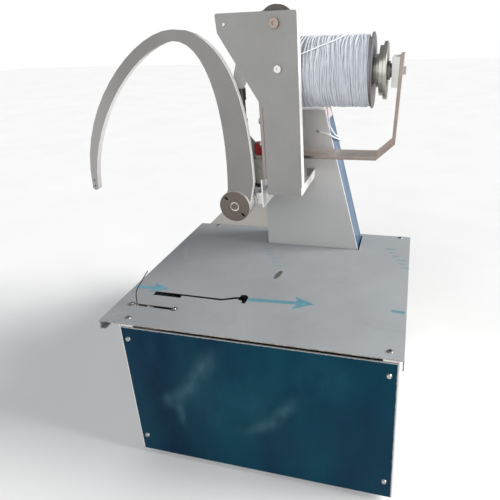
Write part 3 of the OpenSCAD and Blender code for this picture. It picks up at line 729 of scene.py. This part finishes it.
def paint_spool_and_feeler():
    cone = middle("cone_right")
    turned_steel = brushed_metal("bare_bar_steel", (0.42, 0.40, 0.38), 0.3, "z")
    assign(turned_steel, "cheek_bolts", "post_rod", "hub_shaft", "spool_shaft", "hub_bearings",
           "shaft_bearing", "feeler_slider")
    assign(flange_plastic(), "spool")
    assign(machined(
        "cone_olive", (0.48, 0.465, 0.42), 0.34, cone, "x", mark=0.25), "cone_right", "cone_left")
    assign(machined("nut_dark", (0.22, 0.21, 0.205), 0.3, cone, "x"), "lock_nut")
    assign(plastic("block_white", (0.66, 0.65, 0.625), 0.5), "bearing_block")
    assign(bar_metal(), "spool_bar")
    assign(brushed_metal("feeler_dark", (0.08, 0.07, 0.065), 0.3), "feeler_wire")


paint_cabinet()
paint_column_and_head()
paint_arm_and_post()
paint_spool_and_feeler()

SOFT_EDGES = {
    "head_plate": 0.0006, "column_shell": 0.0008, "arm": 0.0008, "hub_disc": 0.0007,
    "hub_housing": 0.0004, "spool_bar": 0.0006, "bearing_block": 0.0008, "top_plate": 0.0003,
    "rear_housing": 0.001, "rear_lid": 0.0006, "head_bracket": 0.0004,
    "arm_bracket": 0.0004, "cone_right": 0.0006, "cone_left": 0.0006, "regulator_body": 0.0006,
    "spool": 0.0008, "head_cheek": 0.0005, "upper_wheel_bolt": 0.0005, "lower_wheel_bolt": 0.0005,
    "side_panel_left": 0.0003, "side_panel_right": 0.0003, "block_bolt": 0.0004,
    "front_screws": 0.0004, "top_screws": 0.0003, "lock_nut": 0.0005}
for node, width in SOFT_EDGES.items():
    soften(NODES[node], width)


# ---------------------------------------------------------------- wound cord
SPOOL_LOW, SPOOL_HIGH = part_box("cord_winding")
SPOOL_AXIS = (SPOOL_LOW + SPOOL_HIGH) / 2
WOUND_RADIUS = (SPOOL_HIGH.z - SPOOL_LOW.z) / 2
STRAND = 0.0033
LIFT = 0.0005
CORE_DEPTH = 0.006
CORE_GAP = 0.0002
STEPS_PER_TURN = 72
# how quickly the strands' wander changes along the spool and round it
COARSE_ALONG = 55
COARSE_ROUND = 0.85
FINE_ALONG = 160
FINE_ROUND = 2.1
FINE_SHARE = 0.35


def drift(x, turn, seed):
    """How far a strand wanders sideways, smooth over the winding."""
    across = math.cos(turn)
    up = math.sin(turn)
    coarse = Vector((x * COARSE_ALONG, across * COARSE_ROUND + seed, up * COARSE_ROUND))
    fine = Vector((x * FINE_ALONG, across * FINE_ROUND - seed, up * FINE_ROUND))
    return noise.noise(coarse) + FINE_SHARE * noise.noise(fine)


def wound_layer(radius, pitch, wander, seed, margin):
    """One pass of cord along the spool, laid with that pitch."""
    low = SPOOL_LOW.x + margin
    high = SPOOL_HIGH.x - margin
    turns = int((high - low) / pitch)
    route = []
    for i in range(turns * STEPS_PER_TURN + 1):
        turn = math.tau * i / STEPS_PER_TURN
        x = low + pitch * i / STEPS_PER_TURN
        shift = wander * drift(x, turn, seed)
        x = min(max(x + shift, low), high)
        bumps = Vector((x * 300, math.cos(turn) * 2 + seed, math.sin(turn) * 2))
        out = min(radius + LIFT * noise.noise(bumps), WOUND_RADIUS - STRAND / 2)
        y = SPOOL_AXIS.y + out * math.cos(turn)
        z = SPOOL_AXIS.z + out * math.sin(turn)
        route.append(Vector((x, y, z)))
    return route


# radius, pitch, wander, seed and margin of each pass of cord
LAYERS = [
    (WOUND_RADIUS - 0.0042, 0.0030, 0.0022, 3.0, 0.0018),
    (WOUND_RADIUS - 0.0028, 0.0037, 0.0044, 11.0, 0.0018),
    (WOUND_RADIUS - 0.0018, 0.0066, 0.0080, 23.0, 0.0018)]


def make_winding():
    start = Vector((SPOOL_LOW.x + CORE_GAP, SPOOL_AXIS.y, SPOOL_AXIS.z))
    length = SPOOL_HIGH.x - SPOOL_LOW.x - 2 * CORE_GAP
    radius = WOUND_RADIUS - CORE_DEPTH
    core = turned("winding_core", start, (1, 0, 0), [(0, radius), (length, radius)])
    give(core, CORD_MATERIAL, "spool")
    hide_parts("cord_winding")
    for number, layer in enumerate(LAYERS):
        strand = tube(f"winding_layer_{number + 1}", wound_layer(*layer), STRAND, 8)
        give(strand, CORD_MATERIAL, "spool")
        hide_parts("cord_winding")


make_winding()


# ---------------------------------------------------------------- film marks on the plate
FILM_LOW = 0.00002
FILM_HIGH = 0.00012
DASH_WIDTH = 0.0026


def printed_film(name, colour):
    """Thin ink on film, a little patchy."""
    paint = Paint(name, rough=0.35, Coat_Weight=0.3, Coat_Roughness=0.25)
    patchy = paint.noise(90, 4)
    paint.colour(paint.mix(paint.spread(patchy, 0.3, 0.75), colour, tint(colour, 0.72)))
    paint.bump(paint.noise(18, 3), 0.0006, 0.15)
    return paint.material


def arrow(name, start, tip, shaft, barb, head, material):
    """A printed arrow from start to tip, with its shaft's width, head's width and head's length."""
    a = Vector(start)
    b = Vector(tip)
    ahead = (b - a).normalized()
    beside = Vector((-ahead.y, ahead.x))
    neck = b - ahead * head
    notch = neck + ahead * head * 0.18
    outline = [
        a - beside * shaft / 2, notch - beside * shaft / 2, neck - beside * barb / 2, b,
        neck + beside * barb / 2, notch + beside * shaft / 2, a + beside * shaft / 2]
    piece = slab(name, outline, FILM_LOW, FILM_HIGH)
    return give(piece, material, "frame")


def dashes(name, start, end, count, length, material):
    """A row of short slanting printed dashes from start to end, as one piece."""
    points = []
    faces = []
    a = Vector(start)
    b = Vector(end)
    ahead = (b - a).normalized()
    slant = Vector((-ahead.y, ahead.x)) * 0.8 + ahead * 0.35
    for i in range(count):
        foot = a + (b - a) * i / (count - 1)
        tip = foot + slant.normalized() * length * (0.65 if i % 3 else 1)
        side = ahead * DASH_WIDTH / 2
        corners = [foot - side, foot + side, tip + side, tip - side]
        first = len(points)
        points += [at(c.x, c.y, FILM_LOW) for c in corners]
        points += [at(c.x, c.y, FILM_HIGH) for c in corners]
        quads = [(3, 2, 1, 0), (4, 5, 6, 7)]
        quads += [(k, (k + 1) % 4, 4 + (k + 1) % 4, 4 + k) for k in range(4)]
        faces += [tuple(first + k for k in quad) for quad in quads]
    return give(new_object(name, points, faces, smooth=False), material, "frame")


def worn_patch(name, colour):
    """Bare metal seen through a tear in the film."""
    paint = Paint(name, rough=0.45, metal=0.3)
    mottle = paint.spread(paint.noise(300, 4), 0.35, 0.65)
    paint.colour(paint.mix(mottle, tint(colour, 0.5), tint(colour, 1.6)))
    paint.bump(paint.noise(500, 3), 0.0002, 0.5)
    return paint.material


# outline of the tear in the film near the middle of the plate
TEAR = [
    (0.2565, 0.2205), (0.2615, 0.2195), (0.2625, 0.2115), (0.2615, 0.2015), (0.2585, 0.1915),
    (0.2545, 0.1875), (0.2515, 0.1895), (0.2505, 0.1985), (0.2525, 0.2105)]


def make_film_marks():
    ink = printed_film("cyan_ink", (0.125, 0.315, 0.385))
    arrow("film_arrow_left", (0.0035, 0.1105), (0.0695, 0.1165), 0.009, 0.034, 0.034, ink)
    arrow("film_arrow_middle", (0.2275, 0.1095), (0.346, 0.1165), 0.0095, 0.040, 0.037, ink)
    arrow("film_arrow_right", (0.4755, 0.1215), (0.4975, 0.1205), 0.007, 0.007, 0.002, ink)
    dashes("film_dashes_left", (0.192, 0.311), (0.2385, 0.2385), 6, 0.022, ink)
    dashes("film_dashes_right", (0.452, 0.352), (0.4875, 0.2745), 6, 0.020, ink)
    torn = slab("film_tear", TEAR, FILM_LOW, FILM_HIGH)
    give(torn, worn_patch("bare_patch", (0.12, 0.125, 0.11)), "frame")


make_film_marks()


# ---------------------------------------------------------------- floor, lights, world
FLOOR_SIZE = 18
FLOOR_GAP = 0.0003


def make_floor():
    size = FLOOR_SIZE / 2
    corners = [(-size, -size, 0), (size, -size, 0), (size, size, 0), (-size, size, 0)]
    floor = new_object("floor", corners, [(0, 1, 2, 3)])
    floor.location.z = -FLOOR_GAP
    paint = Paint("pale_floor", rough=0.9)
    mottle = paint.spread(paint.noise(3, 3), 0.3, 0.7)
    paint.colour(paint.mix(mottle, (0.86, 0.86, 0.86), (0.9, 0.9, 0.9)))
    floor.data.materials.append(paint.material)


def make_world():
    world = bpy.data.worlds.new("studio")
    bpy.context.scene.world = world
    world.use_nodes = True
    tree = world.node_tree
    back = tree.nodes["Background"]
    back.inputs["Color"].default_value = (0.95, 0.975, 1, 1)
    back.inputs["Strength"].default_value = 0.36
    bright = tree.nodes.new("ShaderNodeBackground")
    bright.inputs["Color"].default_value = (1, 1, 1, 1)
    path = tree.nodes.new("ShaderNodeLightPath")
    mix = tree.nodes.new("ShaderNodeMixShader")
    tree.links.new(path.outputs["Is Camera Ray"], mix.inputs["Fac"])
    tree.links.new(back.outputs["Background"], mix.inputs[1])
    tree.links.new(bright.outputs["Background"], mix.inputs[2])
    tree.links.new(mix.outputs["Shader"], tree.nodes["World Output"].inputs["Surface"])


def soft_sun(name, heading, strength, spread, colour):
    data = bpy.data.lights.new(name, "SUN")
    data.energy = strength
    data.angle = math.radians(spread)
    data.color = colour
    lamp = bpy.data.objects.new(name, data)
    lamp.rotation_euler = Vector(heading).to_track_quat("-Z", "Y").to_euler()
    bpy.context.collection.objects.link(lamp)


def make_lights():
    soft_sun("window", (-0.85, -0.12, -0.42), 4.2, 28, (1, 0.985, 0.965))
    soft_sun("room", (0.1, 0.9, -0.3), 1.6, 60, (0.98, 0.99, 1))
    bpy.context.scene.view_settings.view_transform = "Standard"


make_floor()
make_world()
make_lights()
